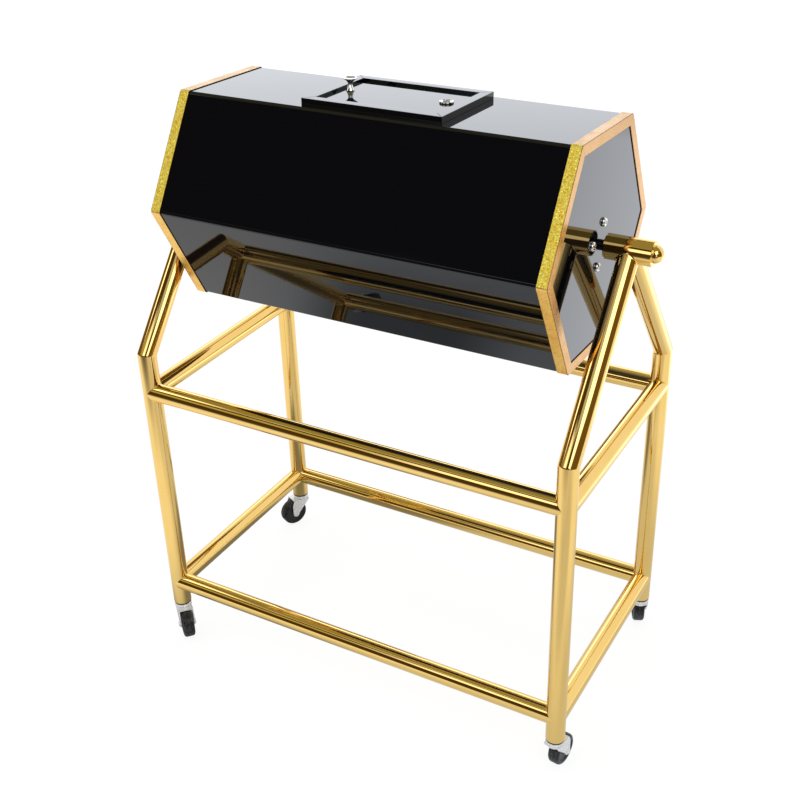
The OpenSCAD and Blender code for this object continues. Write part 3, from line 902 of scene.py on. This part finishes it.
def wheel(corner, place, wheel_r, half):
    """Rubber tyre with a groove on each side of its middle, on a plastic hub with a sunken web."""
    rim = wheel_r - 6 * MM
    shoulder = 5 * MM
    groove = -half * 0.34
    groove_r = wheel_r - 0.35 * MM
    wall = wheel_r - shoulder
    face = -half + 0.5 * MM
    side = [(rim, -half + 0.7 * MM), (wall - 0.2 * MM, face)]
    side += [(wall + shoulder * math.sin(a), face + shoulder * (1 - math.cos(a)))
             for a in (math.radians(10 * k) for k in range(1, 10))]
    side += [(wheel_r, groove - 0.5 * MM), (groove_r, groove - 0.2 * MM),
             (groove_r, groove + 0.2 * MM), (wheel_r, groove + 0.5 * MM)]
    tyre = side + [(r, -z) for r, z in reversed(side)]
    tyre += [(rim - 0.6 * MM, half - 1.2 * MM), (rim - 0.6 * MM, -half + 1.2 * MM)]
    turned(f"tyre_{corner}", tyre, place, RUBBER, f"wheel_{corner}",
           (f"caster_wheel_{corner}",), closed=True, crease=50)
    web = half - 2.5 * MM
    bore = 3.1 * MM
    boss_r = 7.6 * MM
    hub_shape = [(bore, -half), (boss_r - 1 * MM, -half), (boss_r, -half + 0.8 * MM),
                 (boss_r + 0.6 * MM, -web), (rim - 2.2 * MM, -web),
                 (rim - 1.4 * MM, -half + 0.9 * MM), (rim - 0.2 * MM, -half + 0.7 * MM)]
    hub_shape += [(r, -z) for r, z in reversed(hub_shape)]
    turned(f"hub_{corner}", hub_shape, place, HUB, f"wheel_{corner}", (),
           closed=True, crease=40)


# Drum

TRIM_CORNER_R = 8.5 * MM
TRIM_BEVEL = 0.7 * MM
TRIM_LOOKS = (GLITTER, PEACH, TRIM_EDGE_SHADE, TRIM_FOLD_SHADE, LOW_SLOPE_GOLD_AS_LIT, TOP_GOLD_AS_LIT)


def edge_trim(side):
    """Gold angle round one end, one glitter film given lighter and darker copies by the way each face
    turns to the light (painted light and shade): glitter on its upper slopes, smooth elsewhere, painted
    brown shade at fold and edges.

    Its faces are told apart by the cosines between their normal and the drum's end, its top and the way
    out from the axle.
    """
    endwards = 1 if side == "right" else -1

    def facing(face):
        normal = TO_DRUM.to_3x3() @ face.normal
        centre = TO_DRUM @ face.calc_center_median()
        away = Vector((0, centre.y, centre.z)).normalized()
        return normal.x * endwards, normal.z, normal.dot(away)

    def pick(face):
        end, up, out = facing(face)
        # Each facing gets its own copy of the gold, lit or shaded to match: painted light and shade.
        if end >= 0.95:
            return PEACH
        if end > 0.3:
            return TRIM_FOLD_SHADE
        if out < 0.5:
            return TRIM_EDGE_SHADE
        if up < 0.1:
            return LOW_SLOPE_GOLD_AS_LIT
        return GLITTER if up < 0.96 else TOP_GOLD_AS_LIT

    def mitre(face):
        end, _, out = facing(face)
        return abs(end) < 0.1 and abs(out) < 0.3

    flat = drum_box("trim_" + side)[1].z
    softened("edge_trim_" + side, "trim_" + side, TRIM_LOOKS, TRIM_BEVEL,
             pick=pick, skip=mitre, shape=lambda bm: round_hexagon(bm, flat, TRIM_CORNER_R))


SHANK_R = 3.95 * MM
SOCKET_R = 2.9 * MM
SOCKET_DEEP = 2.6 * MM
SOCKET_TURN = 40


def button_head(bm, place, head_r, head_h, shank_r, shank_end, segments=48):
    """Domed screw with a hexagon socket: its seat is at z = 0 and its head points to +Z."""
    mouth = 4.2 * MM
    low = 0.9 * MM
    dome = [(shank_r, shank_end), (shank_r, -0.2 * MM), (shank_r + 0.2 * MM, 0), (head_r - 0.2 * MM, 0),
            (head_r, 0.3 * MM), (head_r, low)]
    for k in range(1, 11):
        a = math.radians(9 * k) * 0.92
        dome.append((mouth + (head_r - mouth) * math.cos(a), low + (head_h - low) * math.sin(a)))
    dome[-1] = (mouth, head_h)
    lathe(bm, [(0, shank_end)] + dome, place, segments)
    rings = [circle(bm, place, mouth, head_h, segments)]
    for radius, z in ((SOCKET_R, head_h - 0.3 * MM), (SOCKET_R, head_h - SOCKET_DEEP)):
        ring = []
        for k in range(segments):
            a = 2 * math.pi * k / segments
            flat = radius / math.cos((a + math.pi / 6) % (math.pi / 3) - math.pi / 6)
            ring.append(bm.verts.new(place @ Vector((flat * math.cos(a), flat * math.sin(a), z))))
        rings.append(ring)
    for first, second in zip(rings, rings[1:]):
        for k in range(segments):
            j = (k + 1) % segments
            bm.faces.new((first[k], first[j], second[j], second[k]))
    bm.faces.new(rings[-1])


def flange_bolts():
    """The screws that hold each axle flange to its end panel."""
    bm = bmesh.new()
    panel_face = abs(drum_box("end_panel_right")[1].x)
    for spots in islands("flange_bolts"):
        low, high = corners_of([TO_DRUM @ spot for spot in spots])
        outward = 1 if low.x > 0 else -1
        head_r = (high.z - low.z) / 2
        tip = max(abs(low.x), abs(high.x)) - panel_face
        inner = min(abs(low.x), abs(high.x)) - panel_face
        centre = (low + high) / 2
        seat = Matrix.Translation((outward * panel_face, centre.y, centre.z))
        turn = Matrix.Rotation(outward * math.pi / 2, 4, "Y")
        turn = turn @ Matrix.Rotation(centre.y * SOCKET_TURN, 4, "Z")
        button_head(bm, IN_DRUM @ seat @ turn, head_r, tip, SHANK_R, inner)
    name = "flange_screws"
    new_piece(name, mesh_from(bm, name), CHROME, "drum", ("flange_bolts",))


def pull_knob():
    """Chrome knob: a cone narrows to the neck, from which a trumpet cup opens to a dished top."""
    low, high = drum_box("lid_knob")
    top = high.z - 0.05 * MM
    centre = (low + high) / 2
    foot = LID_TOP + 0.3 * MM
    tall = top - foot
    spindle_r = 2.95 * MM
    rim_r = (high.x - low.x) / 2
    foot_r = 6.7 * MM
    neck_r = 3.5 * MM
    cone = 0.05
    neck = 0.52
    lip = 0.94
    steps = 16
    shape = [(0, low.z), (spindle_r, low.z), (spindle_r, foot), (foot_r - 0.4 * MM, foot),
             (foot_r, foot + 0.4 * MM)]
    for k in range(steps):
        t = k / steps
        shape.append((neck_r + (foot_r - 0.3 * MM - neck_r) * (1 - t) ** 1.5,
                      foot + tall * (cone + (neck - cone) * t)))
    for k in range(steps + 1):
        t = k / steps
        shape.append((neck_r + (rim_r - neck_r) * t ** 1.9, foot + tall * (neck + (lip - neck) * t)))
    shape += [(rim_r, top - 0.4 * MM), (rim_r - 0.4 * MM, top),
              (rim_r - 1.0 * MM, top), (rim_r - 2.2 * MM, top - 0.9 * MM), (5 * MM, top - 1.8 * MM),
              (2 * MM, top - 2.1 * MM), (0, top - 2.1 * MM)]
    place = IN_DRUM @ Matrix.Translation((centre.x, centre.y, 0))
    turned("pull_knob", shape, place, CHROME, body_of("lid_knob"), ("lid_knob",), crease=40)


def cam_lock():
    """Lock head with a rounded rim round a plug that has a keyway, on a threaded barrel."""
    low, high = drum_box("lock_barrel")
    head_r = (high.x - low.x) / 2
    centre = (low + high) / 2
    place = IN_DRUM @ Matrix.Translation((centre.x, centre.y, 0))
    plug_low, plug_high = drum_box("lock_plug")
    plug_r = (plug_high.x - plug_low.x) / 2
    bore = plug_r + 0.05 * MM
    barrel_r = 7.95 * MM
    pitch = 1.0 * MM
    top = high.z
    shape = [(bore, low.z)]
    z = low.z
    while z < LID_TOP - 1.6 * MM:
        shape += [(barrel_r - 0.5 * MM, z), (barrel_r, z + 0.4 * MM), (barrel_r, z + 0.6 * MM)]
        z += pitch
    shape += [(barrel_r, LID_TOP), (head_r - 0.3 * MM, LID_TOP), (head_r, LID_TOP + 0.3 * MM)]
    roll = 1.25 * MM
    shape += [(head_r - roll + roll * math.cos(a), top - roll + roll * math.sin(a))
              for a in (math.radians(10 * k) for k in range(17))]
    shape += [(bore + 0.8 * MM, top - 1.3 * MM), (bore, top - 1.3 * MM)]
    turned("lock_case", shape, place, CHROME, body_of("lock_barrel"), ("lock_barrel",),
           closed=True, crease=45)
    softened("lock_core", "lock_plug", PLUG_FACE, 0.3 * MM)


def dress_drum():
    for name in ("top", "front_upper", "front_lower", "bottom", "back_lower", "back_upper"):
        rounded_panel("panel_" + name, "facet_" + name)
    for side in SIDES:
        finish_node("end_panel_" + side, ACRYLIC)
        edge_trim(side)
        finish_node("axle_" + side, OXIDE)
    softened("door_bars", "door_frame", ACRYLIC, 0.5 * MM)
    softened("lid_sheet", "lid", ACRYLIC, 0.4 * MM)
    softened("nuts_of_flanges", "flange_nuts", CHROME, 0.6 * MM)
    softened("nut_of_lock", "lock_nut", CHROME, 0.4 * MM)
    for node in ("knob_latch", "lock_cam"):
        softened(node + "_bar", node, ZINC, 0.3 * MM)
    flange_bolts()
    pull_knob()
    cam_lock()


dress_stand()
for cap_side in SIDES:
    dome_cap(cap_side)
for wheel_corner in CORNERS:
    caster(wheel_corner)
dress_drum()


# Studio: a white floor and backdrop, lamps for the shading, and cards that only reflections see

def glowing(tree, level, tint):
    emission = tree.nodes.new("ShaderNodeEmission")
    emission.inputs["Strength"].default_value = level
    emission.inputs["Color"].default_value = (*tint, 1)
    return emission


def mix_surface(tree, share, first, second):
    """Shows two shaders, the second one by its share."""
    mix = tree.nodes.new("ShaderNodeMixShader")
    tree.links.new(share, mix.inputs["Fac"])
    tree.links.new(first.outputs[0], mix.inputs[1])
    tree.links.new(second.outputs[0], mix.inputs[2])
    tree.links.new(mix.outputs[0], tree.nodes["Material Output"].inputs["Surface"])


def seen_white(tree):
    """1 for camera, glossy and transmission rays, which see the white background."""
    path = tree.nodes.new("ShaderNodeLightPath").outputs
    either = link_math(tree, "MAXIMUM", path["Is Camera Ray"], path["Is Glossy Ray"])
    return link_math(tree, "MAXIMUM", either, path["Is Transmission Ray"])


def make_world(fill):
    world = bpy.data.worlds.new("studio")
    SCENE.world = world
    world.use_nodes = True
    tree = world.node_tree
    background = tree.nodes["Background"]
    background.inputs["Color"].default_value = (1, 1, 1, 1)
    added = link_math(tree, "MULTIPLY", seen_white(tree), 1 - fill)
    tree.links.new(link_math(tree, "ADD", added, fill), background.inputs["Strength"])


WORLD_FILL = 0.62
FLOOR_SIZE = 60
FLOOR_WHITE = (0.95, 0.95, 0.95, 1)
FLOOR_GLOW = 0.82
FLOOR_LEVEL = 1.09
FADE_FROM = 1.6
FADE_TO = 4.0
PLAIN = (1, 1, 1)
WARM = (1.0, 0.62, 0.16)
OLIVE = (1.0, 0.92, 0.42)
COOL = (0.985, 1.015, 1.07)


def make_floor():
    """White floor: part glow, part matt white that takes the object's shadow; all glow far out."""
    bpy.ops.mesh.primitive_plane_add(size=FLOOR_SIZE)
    floor = bpy.context.object
    floor.name = "studio_floor"
    material = bpy.data.materials.new("studio_floor")
    material.use_nodes = True
    tree = material.node_tree
    shader = tree.nodes["Principled BSDF"]
    shader.inputs["Base Color"].default_value = FLOOR_WHITE
    shader.inputs["Roughness"].default_value = 1.0
    shader.inputs["Specular IOR Level"].default_value = 0.0
    place = tree.nodes.new("ShaderNodeTexCoord").outputs["Object"]
    distance = tree.nodes.new("ShaderNodeVectorMath")
    distance.operation = "LENGTH"
    tree.links.new(place, distance.inputs[0])
    far = tree.nodes.new("ShaderNodeMapRange")
    for name, value in (("From Min", FADE_FROM), ("From Max", FADE_TO), ("To Min", FLOOR_GLOW)):
        far.inputs[name].default_value = value
    tree.links.new(distance.outputs["Value"], far.inputs["Value"])
    share = link_math(tree, "MULTIPLY", seen_white(tree), far.outputs["Result"])
    mix_surface(tree, share, shader, glowing(tree, FLOOR_LEVEL, PLAIN))
    floor.data.materials.clear()
    floor.data.materials.append(material)


def card_material(name, level, soft, tint):
    """Glow of one level and tint; soft = (across, along) is the card's outer share that fades out."""
    material = bpy.data.materials.new(name)
    material.use_nodes = True
    tree = material.node_tree
    tree.nodes.remove(tree.nodes["Principled BSDF"])
    place = tree.nodes.new("ShaderNodeSeparateXYZ")
    tree.links.new(tree.nodes.new("ShaderNodeTexCoord").outputs["Object"], place.inputs[0])
    fades = []
    for axis, share in zip("XY", soft):
        edge = link_math(tree, "SUBTRACT", 1.0, link_math(tree, "ABSOLUTE", place.outputs[axis], 0.0))
        fade = tree.nodes.new("ShaderNodeMapRange")
        fade.interpolation_type = "SMOOTHSTEP"
        fade.inputs["From Max"].default_value = max(share, 1e-3)
        tree.links.new(edge, fade.inputs["Value"])
        fades.append(fade.outputs["Result"])
    clear = tree.nodes.new("ShaderNodeBsdfTransparent")
    mix_surface(tree, link_math(tree, "MULTIPLY", *fades), clear, glowing(tree, level, tint))
    return material


def card(name, place, aim, size, level, soft, tint):
    """A glowing or dark card facing a point, size = (across, tall), seen only in reflections."""
    mesh = bpy.data.meshes.new(name)
    mesh.from_pydata([(-1, -1, 0), (1, -1, 0), (1, 1, 0), (-1, 1, 0)], [], [(0, 1, 2, 3)])
    mesh.materials.append(card_material(name, level, soft, tint))
    piece = bpy.data.objects.new(name, mesh)
    SCENE.collection.objects.link(piece)
    back = Vector(place) - Vector(aim)
    turn = back.to_track_quat("Z", "Y").to_matrix().to_4x4()
    scale = Matrix.Diagonal((size[0] / 2, size[1] / 2, 1, 1))
    piece.matrix_world = Matrix.Translation(place) @ turn @ scale
    piece.visible_camera = False
    piece.visible_diffuse = False
    piece.visible_shadow = False
    piece.visible_transmission = False


def lamp(name, place, aim, size, radiance):
    """A rectangular lamp of a given radiance that only shades; the cards stand for it in reflections."""
    data = bpy.data.lights.new(name, "AREA")
    data.shape = "RECTANGLE"
    data.size, data.size_y = size
    data.energy = radiance * math.pi * size[0] * size[1]
    piece = bpy.data.objects.new(name, data)
    SCENE.collection.objects.link(piece)
    piece.location = place
    piece.rotation_euler = (Vector(aim) - Vector(place)).to_track_quat("-Z", "Y").to_euler()
    piece.visible_camera = False
    piece.visible_glossy = False


# Name, middle, the point that it faces, size and radiance of each lamp
LAMPS = (
    ("key_lamp", (1.5, -1.6, 2.3), (0, 0, 0.6), (1.2, 1.0), 2.4),
    ("left_lamp", (-2.2, -1.2, 2.0), (0, 0, 0.6), (0.8, 1.2), 2.4),
    ("back_lamp", (-0.8, 2.8, 2.2), (0, 0, 0.8), (2.4, 1.0), 1.5),
)
# Name, middle, the point that it faces, size, level, faded shares and tint of each card
CARDS = (
    ("front_wall", (-0.9, -2.9, 2.1), (-0.9, 0, 2.1), (6.4, 4.6), 0.07, (0.15, 0.02), WARM),
    ("left_wall", (-3.4, -0.9, 1.5), (0, -0.9, 1.5), (4.0, 3.2), 0.15, (0.1, 0.02), WARM),
    ("right_wall", (3.2, -1.0, 1.7), (0, -1.0, 1.7), (4.2, 3.6), 0.16, (0.1, 0.02), WARM),
    ("ceiling", (0, -0.2, 3.05), (0, -0.2, 0), (6.8, 3.4), 0.31, (0.1, 0.15), OLIVE),
    ("front_left", (-2.35, -2.85, 2.25), (-2.35, 0, 2.25), (2.1, 1.4), 0.5, (0.3, 0.25), OLIVE),
    ("back_top", (-2.2, 3.1, 4.7), (-2.2, 0, 4.7), (5.4, 1.7), 0.12, (0.1, 0.15), WARM),
    ("back_low", (-1.75, 3.2, 0.62), (-1.75, 0, 0.62), (1.2, 1.25), 0.15, (0.25, 0.2), WARM),
    ("floor_back", (-1.15, 2.25, 0.0035), (-1.15, 2.25, 2), (1.1, 1.9), 0.15, (0.3, 0.3), WARM),
    ("front_box", (-0.3, -1.85, 1.6), (0, 0, 1.2), (1.5, 0.95), 1.7, (0.7, 0.35), COOL),
    ("front_fill", (0.55, -1.95, 2.75), (0.2, 0, 0.7), (1.8, 1.1), 0.55, (0.4, 0.3), COOL),
    ("key_box", (1.33, -1.15, 2.0), (0, 0, 0.7), (1.25, 1.35), 2.4, (0.15, 0.25), COOL),
    ("left_box", (-1.94, -1.03, 2.0), (0, 0, 0.7), (0.62, 1.2), 2.2, (0.3, 0.3), COOL),
    ("back_strip", (-1.75, 3.0, 1.78), (-0.3, 0, 1.0), (3.2, 0.9), 2.15, (0.2, 0.3), COOL),
    ("floor_right", (1.2, 2.0, 0.004), (1.2, 2.0, 2), (1.2, 2.6), 1.8, (0.3, 0.3), COOL),
    ("floor_front", (-0.2, -2.48, 0.005), (-0.2, -2.48, 2), (7.0, 3.4), 0.08, (0.1, 0.6), PLAIN),
    # Dim cards on the floor under the stand and drum: painted shadow of the drum and shade of the stand,
    # seen in reflections.
    ("stand_shade_on_floor", (0.15, 0.05, 0.001), (0.15, 0.05, 2), (1.8, 1.2), 0.7, (0.5, 0.5), COOL),
    ("drum_shadow_on_floor", (-0.28, -0.02, 0.002), (-0.28, -0.02, 2), (0.66, 0.62), 0.24, (0.7, 0.45), COOL),
    ("floor_key", (0.7, -0.75, 0.003), (0.7, -0.75, 2), (1.8, 0.9), 0.70, (0.7, 0.7), COOL),
)

make_world(WORLD_FILL)
make_floor()
for row in LAMPS:
    lamp(*row)
for row in CARDS:
    card(*row)
